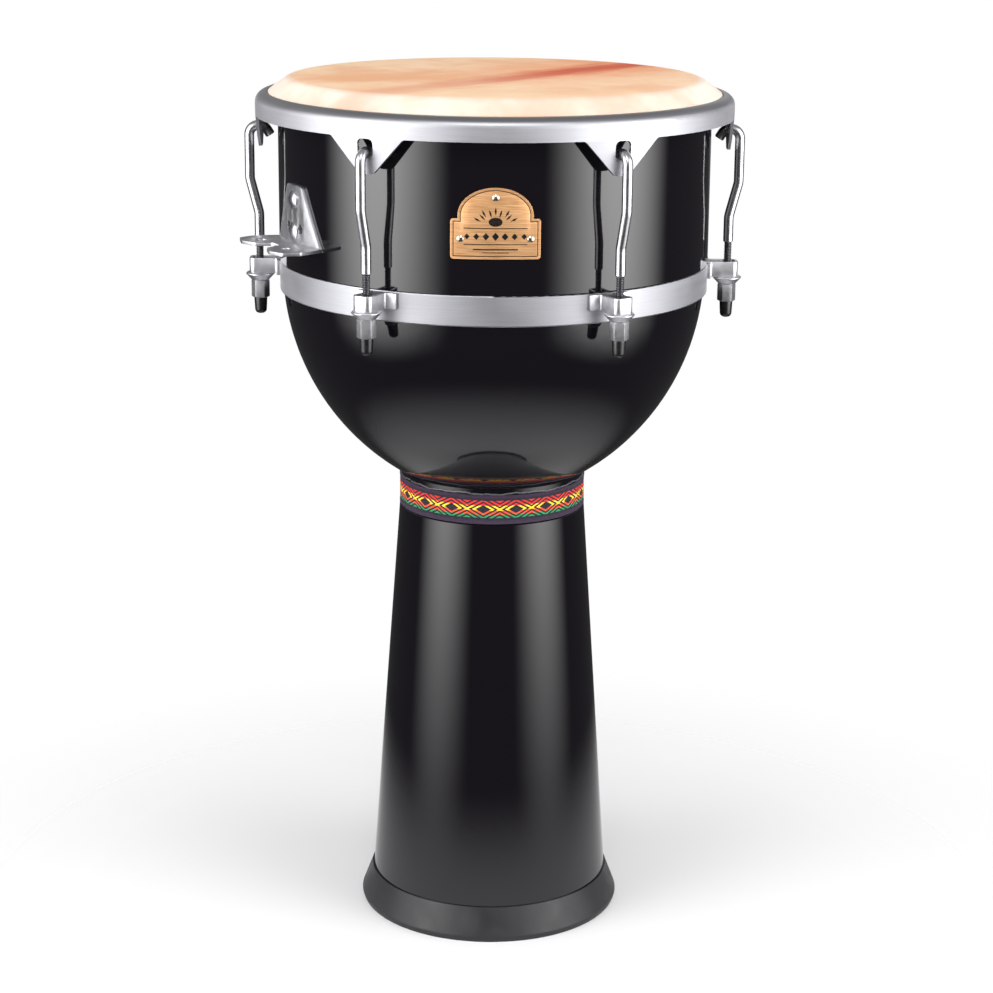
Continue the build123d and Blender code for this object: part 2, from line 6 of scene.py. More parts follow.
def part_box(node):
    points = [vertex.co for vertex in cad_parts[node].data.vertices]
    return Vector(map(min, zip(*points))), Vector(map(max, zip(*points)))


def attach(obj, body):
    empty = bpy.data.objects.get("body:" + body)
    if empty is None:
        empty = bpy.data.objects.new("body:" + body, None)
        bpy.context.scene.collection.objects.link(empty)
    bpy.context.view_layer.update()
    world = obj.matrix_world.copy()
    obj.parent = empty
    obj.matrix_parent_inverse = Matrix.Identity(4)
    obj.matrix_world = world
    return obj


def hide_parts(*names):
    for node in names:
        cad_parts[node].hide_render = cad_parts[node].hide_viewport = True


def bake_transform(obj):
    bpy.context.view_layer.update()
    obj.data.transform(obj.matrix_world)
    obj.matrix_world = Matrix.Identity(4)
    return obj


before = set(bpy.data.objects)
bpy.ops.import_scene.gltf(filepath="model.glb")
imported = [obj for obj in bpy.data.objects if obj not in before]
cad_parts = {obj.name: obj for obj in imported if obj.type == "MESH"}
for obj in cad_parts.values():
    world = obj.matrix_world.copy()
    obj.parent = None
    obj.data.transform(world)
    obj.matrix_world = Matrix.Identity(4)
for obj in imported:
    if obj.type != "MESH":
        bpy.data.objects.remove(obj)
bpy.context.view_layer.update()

# A top-tuned djembe: lacquered goblet shell, stretched goat hide, steel hoop, hooked rods.
# Metres. +Z is up, the floor is Z 0 and the badge faces -Y.

MM = 0.001
LUGS = 6
AXIS_FREE = (0.0, 0.0, 0.0)


# ======================= small helpers =======================

def nothing_selected():
    if bpy.context.mode != "OBJECT":
        bpy.ops.object.mode_set(mode="OBJECT")
    bpy.ops.object.select_all(action="DESELECT")


def made_active(piece):
    nothing_selected()
    piece.select_set(True)
    bpy.context.view_layer.objects.active = piece
    return piece


def place_applied(piece):
    """The object ends at the origin, unturned and unscaled, with its place in its mesh."""
    made_active(piece)
    bpy.ops.object.transform_apply(location=True, rotation=True, scale=True)
    return piece


def drawn_outline(name, points):
    """An open outline on the XZ plane, one vertex extruded from point to point."""
    nothing_selected()
    first = Vector((points[0][0], 0, points[0][1]))
    bpy.ops.mesh.primitive_plane_add(size=MM, location=first)
    piece = bpy.context.object
    piece.name = piece.data.name = name
    bpy.ops.object.mode_set(mode="EDIT")
    bpy.ops.mesh.select_mode(type="VERT")
    bpy.ops.mesh.select_all(action="SELECT")
    bpy.ops.mesh.merge(type="CENTER")
    for here, there in zip(points, points[1:]):
        step = (there[0] - here[0], 0, there[1] - here[1])
        bpy.ops.mesh.extrude_region_move(TRANSFORM_OT_translate={"value": step})
    bpy.ops.object.mode_set(mode="OBJECT")
    return place_applied(piece)


def spun_round(piece, steps):
    """Spins the outline once round Z, and closes the seam and the poles."""
    made_active(piece)
    bpy.ops.object.mode_set(mode="EDIT")
    bpy.ops.mesh.select_all(action="SELECT")
    bpy.ops.mesh.spin(steps=steps, angle=2 * pi, center=AXIS_FREE, axis=(0, 0, 1))
    bpy.ops.mesh.select_all(action="SELECT")
    bpy.ops.mesh.remove_doubles(threshold=0.01 * MM)
    bpy.ops.mesh.normals_make_consistent(inside=False)
    bpy.ops.object.mode_set(mode="OBJECT")
    return piece


def smooth(piece, angle=30):
    made_active(piece)
    bpy.ops.object.shade_smooth_by_angle(angle=radians(angle))
    return piece


def modifier(piece, kind, **settings):
    """Adds a modifier with its settings and applies it."""
    made_active(piece)
    added = piece.modifiers.new(kind.title(), kind)
    for key, value in settings.items():
        setattr(added, key, value)
    bpy.ops.object.modifier_apply(modifier=added.name)
    return piece


def arc_points(centre, radius, start, end, count):
    """Points along an arc, angles in degrees from the outward direction."""
    turns = [radians(start + (end - start) * i / count) for i in range(count + 1)]
    return [(centre[0] + radius * cos(t), centre[1] + radius * sin(t)) for t in turns]


def merged_copy(node, name):
    """A new object with the CAD node's mesh, its loose triangles merged into faces."""
    piece = bpy.data.objects.new(name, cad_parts[node].data.copy())
    piece.data.name = name
    bpy.context.scene.collection.objects.link(piece)
    piece.data.materials.clear()
    made_active(piece)
    bpy.ops.object.mode_set(mode="EDIT")
    bpy.ops.mesh.select_all(action="SELECT")
    bpy.ops.mesh.remove_doubles(threshold=0.002 * MM)
    bpy.ops.object.mode_set(mode="OBJECT")
    return piece


def eased(node, name, width):
    """The CAD shape with its sharp edges rolled over, as tumbling or polishing leaves them."""
    piece = merged_copy(node, name)
    made_active(piece)
    bpy.ops.object.mode_set(mode="EDIT")
    bpy.ops.mesh.select_all(action="SELECT")
    bpy.ops.mesh.dissolve_limited(angle_limit=radians(0.6))
    bpy.ops.object.mode_set(mode="OBJECT")
    modifier(
        piece, "BEVEL", width=width, segments=2, limit_method="ANGLE",
        angle_limit=radians(30), use_clamp_overlap=True, harden_normals=False,
    )
    return smooth(piece, 35)


def finished(piece, material, body, *nodes, slot=None):
    """Gives a piece its material and body, and hides the CAD nodes it stands for. A piece that
    already has its materials keeps them."""
    if material:
        piece.data.materials.clear()
        piece.data.materials.append(material)
    if nodes:
        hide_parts(*nodes)
    if body:
        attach(piece, body)
    return piece


# ======================= materials =======================

def linear(code):
    """sRGB hex to a linear colour with alpha 1."""
    channels = [int(code[i:i + 2], 16) / 255 for i in (0, 2, 4)]
    return tuple(
        c / 12.92 if c <= 0.04045 else ((c + 0.055) / 1.055) ** 2.4 for c in channels
    ) + (1.0,)


def new_material(name):
    material = bpy.data.materials.new(name)
    material.use_nodes = True
    tree = material.node_tree
    tree.nodes.clear()
    output = tree.nodes.new("ShaderNodeOutputMaterial")
    shader = tree.nodes.new("ShaderNodeBsdfPrincipled")
    tree.links.new(shader.outputs[0], output.inputs["Surface"])
    return material, tree, shader


def node(tree, kind, settings=None, **inputs):
    """Adds a node. Inputs are named or numbered (i0, i1, ...); a socket value is linked."""
    added = tree.nodes.new(kind)
    for key, value in (settings or {}).items():
        setattr(added, key, value)
    for key, value in inputs.items():
        index = int(key[1:]) if key[0] == "i" and key[1:].isdigit() else key.replace("_", " ")
        socket = added.inputs[index]
        if isinstance(value, bpy.types.NodeSocket):
            tree.links.new(value, socket)
        else:
            socket.default_value = value
    return added


def math(tree, operation, a, b=0.0, c=0.0):
    return node(tree, "ShaderNodeMath", {"operation": operation}, i0=a, i1=b, i2=c).outputs[0]


def mixed(tree, factor, a, b):
    """Colour a where factor is 0, b where it is 1."""
    made = node(tree, "ShaderNodeMix", {"data_type": "RGBA"}, i0=factor, i6=a, i7=b)
    return made.outputs[2]


def ramp(tree, factor, low, high, out_low=0.0, out_high=1.0):
    made = node(
        tree, "ShaderNodeMapRange", {"interpolation_type": "SMOOTHSTEP"},
        i0=factor, i1=low, i2=high, i3=out_low, i4=out_high,
    )
    return made.outputs[0]


def noise(tree, vector, scale, detail=3.0, rough=0.5):
    return node(
        tree, "ShaderNodeTexNoise", None, Vector=vector, Scale=scale, Detail=detail, Roughness=rough
    ).outputs[0]


def object_place(tree):
    return node(tree, "ShaderNodeTexCoord").outputs["Object"]


def round_place(tree, radius):
    """Object place unrolled round the drum's axis, as a vector of metres round, up and out. Then
    the turn, the height and the way out, each alone."""
    x, y, height = node(tree, "ShaderNodeSeparateXYZ", None, i0=object_place(tree)).outputs
    turn = math(tree, "ARCTAN2", y, x)
    squares = math(tree, "ADD", math(tree, "MULTIPLY", x, x), math(tree, "MULTIPLY", y, y))
    out = math(tree, "SQRT", squares)
    round_way = math(tree, "MULTIPLY", turn, radius)
    unrolled = node(
        tree, "ShaderNodeCombineXYZ", None, i0=round_way, i1=height, i2=out).outputs[0]
    return unrolled, turn, height, out


def bump(tree, height, distance, strength=1.0, normal=None):
    made = node(tree, "ShaderNodeBump", None, Strength=strength, Distance=distance, Height=height)
    if normal is not None:
        tree.links.new(normal, made.inputs["Normal"])
    return made.outputs[0]


def black_gloss_lacquer():
    """Black pigmented lacquer, sprayed and buffed over wound laminate: mirror gloss with a
    faint long orange-peel waviness and a few hairline buffing marks."""
    material, tree, shader = new_material("black_gloss_lacquer")
    shader.inputs["Base Color"].default_value = linear("0c0a0e")
    shader.inputs["Roughness"].default_value = 0.07
    shader.inputs["IOR"].default_value = 1.52
    place = object_place(tree)
    peel = noise(tree, place, 1 / (9 * MM), 2.0, 0.4)
    swirl = noise(tree, place, 1 / (45 * MM), 2.0, 0.5)
    marks = ramp(tree, noise(tree, place, 1 / (3 * MM), 6.0, 0.7), 0.42, 0.75, 0.055, 0.10)
    tree.links.new(marks, shader.inputs["Roughness"])
    waved = bump(tree, swirl, 0.05 * MM, 0.6)
    tree.links.new(bump(tree, peel, 0.006 * MM, 0.5, waved), shader.inputs["Normal"])
    return material


def steel(name, colour, rough_low, rough_high, grain_round, grain_up, radius, depth=0.004,
          brushed=0.0):
    """Plated steel with brushing lines. grain_round and grain_up are the line's length and
    spacing in metres, round and along the axis, and depth is its depth in millimetres. Round
    brushing spreads gloss up and down."""
    material, tree, shader = new_material(name)
    shader.inputs["Metallic"].default_value = 1.0
    if brushed:
        shader.inputs["Anisotropic"].default_value = brushed
        round_way = node(tree, "ShaderNodeTangent", {"direction_type": "RADIAL", "axis": "Z"})
        tree.links.new(round_way.outputs[0], shader.inputs["Tangent"])
    place = round_place(tree, radius)[0]
    stretched = node(
        tree, "ShaderNodeMapping", None, Vector=place,
        Scale=(1 / grain_round, 1 / grain_up, 1 / grain_up),
    ).outputs[0]
    lines = noise(tree, stretched, 1.0, 4.0, 0.65)
    haze = noise(tree, object_place(tree), 1 / (30 * MM), 3.0, 0.5)
    light, dark = linear(colour), tuple(c * 0.86 for c in linear(colour)[:3]) + (1.0,)
    colour_seen = mixed(tree, ramp(tree, lines, 0.3, 0.7), dark, light)
    tree.links.new(colour_seen, shader.inputs["Base Color"])
    blurred = math(
        tree, "ADD", math(tree, "MULTIPLY", lines, 0.6), math(tree, "MULTIPLY", haze, 0.4)
    )
    rough = ramp(tree, blurred, 0.3, 0.7, rough_low, rough_high)
    tree.links.new(rough, shader.inputs["Roughness"])
    tree.links.new(bump(tree, lines, depth * MM), shader.inputs["Normal"])
    return material


def goat_hide():
    """Scraped goat skin stretched dry: warm translucent tan with a redder streak along the
    spine, cloudy thin places, fine pores, and a bleached cream collar where it bends."""
    material, tree, shader = new_material("goat_hide_scraped")
    place = object_place(tree)
    out = round_place(tree, 0.18)[3]
    parts = node(tree, "ShaderNodeSeparateXYZ", None, i0=place).outputs
    cloud = noise(tree, place, 1 / (95 * MM), 4.0, 0.55)
    mottle = noise(tree, place, 1 / (22 * MM), 5.0, 0.6)
    # The spine runs straight from the back right towards the front left, with feathered edges.
    way_x, way_y, way_turn = 0.645, 0.764, 0.869
    across = math(
        tree, "ADD", math(tree, "MULTIPLY", parts[0], -way_y),
        math(tree, "MULTIPLY", parts[1], way_x),
    )
    along = math(
        tree, "ADD", math(tree, "MULTIPLY", parts[0], way_x),
        math(tree, "MULTIPLY", parts[1], way_y),
    )
    fibres = node(
        tree, "ShaderNodeMapping", {"vector_type": "TEXTURE"}, Vector=place,
        Rotation=(0, 0, way_turn), Scale=(60 * MM, 9 * MM, 20 * MM),
    ).outputs[0]
    feather = noise(tree, fibres, 1.0, 5.0, 0.62)
    ragged, spine_off = 45 * MM, -19 * MM
    strayed = math(tree, "MULTIPLY", math(tree, "SUBTRACT", feather, 0.5), ragged)
    across = math(tree, "ADD", across, strayed)
    off = math(tree, "ABSOLUTE", math(tree, "SUBTRACT", across, spine_off))
    spine = ramp(tree, off, 0.004, 0.034, 1.0, 0.0)
    side = ramp(tree, along, -0.15, 0.12, 0.30, 1.0)
    streak = math(tree, "MULTIPLY", spine, side)
    flush = math(
        tree, "MULTIPLY", ramp(tree, off, 0.0, 0.11, 1.0, 0.0), ramp(tree, along, -0.10, 0.08)
    )
    base = mixed(tree, ramp(tree, cloud, 0.34, 0.66), linear("f2cca8"), linear("e6ab80"))
    spots = math(tree, "MULTIPLY", ramp(tree, mottle, 0.45, 0.8), 0.3)
    base = mixed(tree, spots, base, linear("e2a074"))
    # Painted light: the front of the head, towards -Y, is mixed paler as if lit from the front.
    front = ramp(tree, parts[1], -0.05, -0.17, 0.0, 0.55)
    base = mixed(tree, front, base, linear("f3d6b0"))
    base = mixed(tree, math(tree, "MULTIPLY", flush, 0.6), base, linear("e68a50"))
    base = mixed(tree, math(tree, "MULTIPLY", streak, 0.9), base, linear("c63c06"))
    uneven = math(tree, "ADD", out, math(tree, "MULTIPLY", mottle, 6 * MM))
    collar = ramp(tree, uneven, 164 * MM, 172.5 * MM)
    pale = mixed(tree, ramp(tree, cloud, 0.4, 0.65), linear("d8d0c6"), linear("cfae9c"))
    base = mixed(tree, math(tree, "MULTIPLY", collar, 0.85), base, pale)
    tree.links.new(base, shader.inputs["Base Color"])
    pores = noise(tree, place, 1 / (0.9 * MM), 4.0, 0.6)
    veins = node(tree, "ShaderNodeTexVoronoi", {"feature": "DISTANCE_TO_EDGE"},
                 Vector=place, Scale=1 / (7 * MM)).outputs[0]
    tree.links.new(ramp(tree, pores, 0.3, 0.7, 0.58, 0.74), shader.inputs["Roughness"])
    shader.inputs["Subsurface Weight"].default_value = 0.12
    shader.inputs["Subsurface Radius"].default_value = (0.004, 0.002, 0.001)
    shader.inputs["Subsurface Scale"].default_value = 1.0
    creased = bump(tree, ramp(tree, veins, 0.0, 0.12), 0.04 * MM, 0.5)
    tree.links.new(bump(tree, pores, 0.10 * MM, 0.7, creased), shader.inputs["Normal"])
    return material


def woven_ribbon():
    """Jacquard-woven cotton ribbon: navy ground with plum selvedges and floats of red,
    yellow, orange and green yarn that make a row of diamonds between chevrons."""
    material, tree, shader = new_material("cotton_jacquard_ribbon")
    low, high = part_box("woven_band")
    _, turn, height, _ = round_place(tree, high.y)
    middle, half_zone, repeats = (low.z + high.z) / 2 + 0.4 * MM, 7.4 * MM, 18
    u = math(tree, "MULTIPLY", turn, repeats / (2 * pi))
    u = math(tree, "SUBTRACT", math(tree, "FRACT", math(tree, "ADD", u, 0.25)), 0.5)
    v = math(tree, "DIVIDE", math(tree, "SUBTRACT", height, middle), half_zone)
    wide = math(tree, "MULTIPLY", math(tree, "ABSOLUTE", u), 2.0)
    diamond = math(tree, "ADD", wide, math(tree, "ABSOLUTE", v))
    stripe = math(tree, "FRACT", math(tree, "MULTIPLY_ADD", diamond, 2.4, 0.10))
    off_stripe = math(tree, "ABSOLUTE", math(tree, "SUBTRACT", stripe, 0.5))
    float_yarn = ramp(tree, off_stripe, 0.23, 0.29, 1.0, 0.0)
    zone = ramp(tree, math(tree, "ABSOLUTE", v), 0.96, 1.0, 1.0, 0.0)
    inside = ramp(tree, diamond, 0.36, 0.40)
    show = math(tree, "MULTIPLY", math(tree, "MULTIPLY", float_yarn, zone), inside)
    colour = mixed(tree, ramp(tree, v, 0.36, 0.44), linear("fbd522"), linear("e02018"))
    colour = mixed(tree, ramp(tree, v, -0.16, -0.10), linear("ea4a16"), colour)
    colour = mixed(tree, ramp(tree, v, -0.64, -0.58), linear("1c8f55"), colour)
    edge = ramp(tree, math(tree, "ABSOLUTE", v), 1.15, 1.35)
    ground = mixed(tree, edge, linear("0b0c20"), linear("2c1433"))
    thread_turn = math(tree, "SINE", math(tree, "MULTIPLY", turn, 620.0))
    thread_up = math(tree, "SINE", math(tree, "MULTIPLY", height, 2 * pi / (0.7 * MM)))
    weave = math(tree, "MULTIPLY", thread_turn, thread_up)
    colour = mixed(tree, show, ground, colour)
    # Painted shade: the colour is darkened by up to a fifth in the hollows between the yarns.
    weave_painted_shade = ramp(tree, weave, -1.0, 1.0, 0.80, 1.0)
    dark = node(tree, "ShaderNodeHueSaturation", None, i3=1.0, i4=colour)
    tree.links.new(weave_painted_shade, dark.inputs["Value"])
    tree.links.new(dark.outputs[0], shader.inputs["Base Color"])
    shader.inputs["Roughness"].default_value = 0.72
    shader.inputs["Sheen Weight"].default_value = 0.10
    shader.inputs["Sheen Roughness"].default_value = 0.4
    raised = math(tree, "ADD", math(tree, "MULTIPLY", weave, 0.3), show)
    tree.links.new(bump(tree, raised, 0.25 * MM), shader.inputs["Normal"])
    return material


def moulded_rubber():
    """Moulded black rubber ring: matte with a fine spark-eroded mould grain."""
    material, tree, shader = new_material("black_rubber_moulded")
    place = object_place(tree)
    grain = noise(tree, place, 1 / (0.8 * MM), 3.0, 0.6)
    scuff = noise(tree, place, 1 / (25 * MM), 5.0, 0.6)
    tree.links.new(
        mixed(tree, ramp(tree, scuff, 0.45, 0.75), linear("141417"), linear("1f1f23")),
        shader.inputs["Base Color"],
    )
    tree.links.new(ramp(tree, scuff, 0.3, 0.7, 0.42, 0.58), shader.inputs["Roughness"])
    tree.links.new(bump(tree, grain, 0.03 * MM, 0.5), shader.inputs["Normal"])
    return material


def cap_vinyl():
    """Dipped black vinyl cap: soft gloss, slightly uneven."""
    material, tree, shader = new_material("black_vinyl_dipped")
    shader.inputs["Base Color"].default_value = linear("111113")
    cloud = noise(tree, object_place(tree), 1 / (4 * MM), 3.0, 0.5)
    tree.links.new(ramp(tree, cloud, 0.3, 0.7, 0.22, 0.34), shader.inputs["Roughness"])
    tree.links.new(bump(tree, cloud, 0.05 * MM, 0.5), shader.inputs["Normal"])
    return material


def badge_brass():
    """Brushed copper-gold brass under clear lacquer."""
    material, tree, shader = new_material("brass_brushed_lacquered")
    shader.inputs["Metallic"].default_value = 0.65
    place = object_place(tree)
    stretched = node(tree, "ShaderNodeMapping", None, Vector=place,
                     Scale=(1 / (14 * MM), 1 / (14 * MM), 1 / (0.35 * MM))).outputs[0]
    lines = noise(tree, stretched, 1.0, 4.0, 0.6)
    tree.links.new(mixed(tree, ramp(tree, lines, 0.3, 0.7), linear("cf9763"), linear("efbb88")),
                   shader.inputs["Base Color"])
    tree.links.new(ramp(tree, lines, 0.3, 0.7, 0.28, 0.42), shader.inputs["Roughness"])
    shader.inputs["Coat Weight"].default_value = 0.4
    shader.inputs["Coat Roughness"].default_value = 0.1
    tree.links.new(bump(tree, lines, 0.01 * MM), shader.inputs["Normal"])
    return material


def bare_laminate():
    """Unpainted inside of the laminate: amber-brown resin over wound cloth."""
    material, tree, shader = new_material("laminate_bare_inside")
    _, turn, height, _ = round_place(tree, 0.17)
    cloth = math(tree, "MULTIPLY", math(tree, "SINE", math(tree, "MULTIPLY", turn, 340.0)),
                 math(tree, "SINE", math(tree, "MULTIPLY", height, 2 * pi / (3.2 * MM))))
    cloud = noise(tree, object_place(tree), 1 / (40 * MM), 5.0, 0.6)
    tree.links.new(mixed(tree, ramp(tree, cloud, 0.35, 0.7), linear("6b4a2c"), linear("8f6a42")),
                   shader.inputs["Base Color"])
    shader.inputs["Roughness"].default_value = 0.45
    tree.links.new(bump(tree, cloth, 0.12 * MM, 0.6), shader.inputs["Normal"])
    return material


def dried_glue():
    """Clear contact glue that dried over black lacquer: dark grey with a soft gloss."""
    material, tree, shader = new_material("contact_glue_dried")
    cloud = noise(tree, object_place(tree), 1 / (3 * MM), 4.0, 0.6)
    grey = mixed(tree, cloud, linear("2a2a2e"), linear("6a6a70"))
    tree.links.new(grey, shader.inputs["Base Color"])
    tree.links.new(ramp(tree, cloud, 0.3, 0.7, 0.22, 0.45), shader.inputs["Roughness"])
    return material


def black_enamel():
    """Black stoving enamel filled into the plate's sunk lines: smooth with a low gloss."""
    material, tree, shader = new_material("black_enamel_filled")
    shader.inputs["Base Color"].default_value = linear("15110f")
    cloud = noise(tree, object_place(tree), 1 / (1.2 * MM), 3.0, 0.5)
    tree.links.new(ramp(tree, cloud, 0.3, 0.7, 0.25, 0.40), shader.inputs["Roughness"])
    return material


glue = dried_glue()
enamel = black_enamel()
lacquer = black_gloss_lacquer()
laminate = bare_laminate()
hide_skin = goat_hide()
ribbon = woven_ribbon()
rubber = moulded_rubber()
vinyl = cap_vinyl()
brass = badge_brass()
band_steel = steel("chrome_steel_satin_brushed", "a9a9ae", 0.38, 0.46, 40 * MM, 0.4 * MM, 0.18,
                   depth=0.001, brushed=0.75)
rod_steel = steel("chrome_steel_polished", "c4c4c8", 0.24, 0.34, 1.2 * MM, 9 * MM, 0.19,
                  depth=0.002)
oiled_thread = steel("steel_thread_oiled", "77777b", 0.30, 0.42, 1.0 * MM, 1.0 * MM, 0.19,
                     depth=0.002)
plate_steel = steel("chrome_steel_pressed", "d6d6da", 0.34, 0.44, 6 * MM, 6 * MM, 0.19,
                    depth=0.02)
pin_metal = steel("steel_pin_nickelled", "d8c9b4", 0.18, 0.30, 3 * MM, 3 * MM, 0.18, depth=0.01)
zinc = steel("steel_zinc_plated", "b9bcc0", 0.28, 0.42, 2 * MM, 1.5 * MM, 0.17)


# ======================= CAD nodes that keep their shape =======================

FINISHES = {
    "bowl_shell": lacquer, "bowl_wall": lacquer, "bearing_ring": laminate, "foot_shell": lacquer,
    "neck_sleeve": laminate, "belly_band": band_steel, "badge_pins": pin_metal,
    "bracket_screws": rod_steel, "bracket_washers": zinc, "bracket_nuts": zinc, "flesh_hoop": zinc,
    "tuning_hoop": band_steel, "base_ring": rubber, "badge_plate": brass, "woven_band": ribbon,
    "drum_head": hide_skin, "strap_bracket": plate_steel,
}
for i in range(1, LUGS + 1):
    FINISHES[f"lug_bracket_{i}"] = plate_steel
    FINISHES[f"hook_rod_{i}"] = rod_steel
    FINISHES[f"dish_washer_{i}"] = plate_steel
    FINISHES[f"tuning_nut_{i}"] = plate_steel
    FINISHES[f"end_cap_{i}"] = vinyl
for name, finish in FINISHES.items():
    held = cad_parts[name]
    if not held.material_slots:
        held.data.materials.append(finish)
    for place in held.material_slots:
        place.material = finish


# ======================= skin =======================

def stretched_skin():
    """Goat skin over the bearing edge: flat top, rounded shoulder, slope, and a skirt that goes
    down inside the hoop. It puckers a little where it is pulled down."""
    low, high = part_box("drum_head")
    skin = 1.2 * MM
    flat, bend, fall = 162.5 * MM, 14.0 * MM, 36
    shoulder = arc_points((flat, high.z - bend), bend, 90, 90 - fall, 7)
    foot_x = high.x
    edge_x, edge_z = shoulder[-1]
    foot_z = edge_z - (foot_x - edge_x) * sin(radians(fall)) / cos(radians(fall))
    slope = [(edge_x + (foot_x - edge_x) * k / 4, edge_z + (foot_z - edge_z) * k / 4)
             for k in (1, 2, 3)]
    skirt = [(foot_x - 0.35 * MM, foot_z + 0.25 * MM)] + [
        (foot_x, foot_z + (low.z - foot_z) * k / 4) for k in (1, 2, 3, 4)]
    top = [(flat * k / 9, high.z) for k in range(9)]
    piece = spun_round(drawn_outline("hide_head", top + shoulder + slope + skirt), 180)
    pull_from, pull_over, dip = 168 * MM, 14 * MM, 0.10 * MM
    for v in piece.data.vertices:
        turn, out = atan2(v.co.y, v.co.x), sqrt(v.co.x ** 2 + v.co.y ** 2)
        pull = min(max((out - pull_from) / pull_over, 0.0), 1.0)
        wave = 0.22 * sin(41 * turn) + 0.16 * sin(67 * turn + 1.3) + 0.10 * sin(113 * turn + 0.4)
        v.co.z -= pull * (1 - abs(2 * pull - 1)) * abs(wave) * MM
        if out < flat:
            v.co.z -= dip * (1 - (out / flat) ** 2)
    modifier(piece, "SOLIDIFY", thickness=skin, offset=-1.0)
    smooth(piece, 40)
    finished(piece, hide_skin, None, "drum_head", slot="goatskin")
    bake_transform(piece)
    return piece


# ======================= woven ribbon and its glue line =======================

def glued_ribbon():
    """Woven ribbon with corded selvedges, wound once round the waist with its end lapped over
    at the back."""
    low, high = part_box("woven_band")
    inner, outer, edge = -low.x - 1.6 * MM, high.x, 1.1 * MM
    heights = [low.z + (high.z - low.z) * k / 14 for k in range(15)]
    face = [(outer - 0.35 * MM, z) for z in heights[1:-1]]
    rolled_low = arc_points((outer - edge / 2, low.z + edge / 2), edge / 2, -120, 60, 4)
    rolled_high = arc_points((outer - edge / 2, high.z - edge / 2), edge / 2, -60, 120, 4)
    outline = ([(inner, low.z + 0.2 * MM)] + rolled_low + face + rolled_high
               + [(inner, high.z - 0.2 * MM)])
    piece = drawn_outline("woven_ribbon", outline + [outline[0]])
    spun_round(piece, 216)
    lap_at, lap_half, lap_rise, settle = 1.75, 0.10, 0.8, 0.12
    for v in piece.data.vertices:
        turn, out = atan2(v.co.y, v.co.x), sqrt(v.co.x ** 2 + v.co.y ** 2)
        if out < inner + 0.2 * MM:
            continue
        lapped = lap_rise if abs(turn - lap_at) < lap_half else 0.0
        ripple = 0.10 * sin(23 * turn) + 0.08 * sin(57 * turn + v.co.z * 300)
        grow = 1 + (lapped - settle + ripple) * MM / out
        v.co.x, v.co.y = v.co.x * grow, v.co.y * grow
    smooth(piece, 50)
    finished(piece, ribbon, "shell", "woven_band", slot="woven_cotton")
    return piece


def glue_line():
    """Thin uneven bead of dried glue above the ribbon."""
    ribbon_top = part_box("woven_band")[1].z
    nothing_selected()
    bpy.ops.mesh.primitive_torus_add(
        major_segments=200, minor_segments=8, major_radius=76.5 * MM, minor_radius=0.7 * MM,
        location=(0, 0, ribbon_top + 0.9 * MM))
    piece = bpy.context.object
    piece.name = piece.data.name = "glue_line"
    place_applied(piece)
    for v in piece.data.vertices:
        turn = atan2(v.co.y, v.co.x)
        v.co.z += (0.5 * sin(9 * turn) + 0.35 * sin(23 * turn + 1) + 0.2 * sin(61 * turn)) * MM
    smooth(piece, 60)
    return finished(piece, glue, "shell", slot="black_plastic")


# ======================= hardware at the lugs =======================

def copies_round(first, name, body, node_name, material, slot):
    """The piece at the +X lug and its five copies, each with its own mesh."""
    for i in range(1, LUGS + 1):
        if i == 1:
            piece = first
        else:
            piece = bpy.data.objects.new(name, first.data.copy())
            bpy.context.scene.collection.objects.link(piece)
            piece.rotation_euler = (0, 0, 2 * pi * (i - 1) / LUGS)
            place_applied(piece)
        piece.name = piece.data.name = f"{name}_{i}"
        finished(piece, material, body.format(i), f"{node_name}_{i}", slot=slot)


def extruded(step):
    bpy.ops.mesh.extrude_region_move(TRANSFORM_OT_translate={"value": step})


def bent(steps, degrees_turned, centre):
    """Bends the selected end about an axis along Y through the centre (x, z), outward when the
    angle is above 0. The spin operator turns the other way from its angle's sign."""
    bpy.ops.mesh.spin(
        steps=steps, angle=-radians(degrees_turned), center=(centre[0], 0, centre[1]),
        axis=(0, 1, 0))


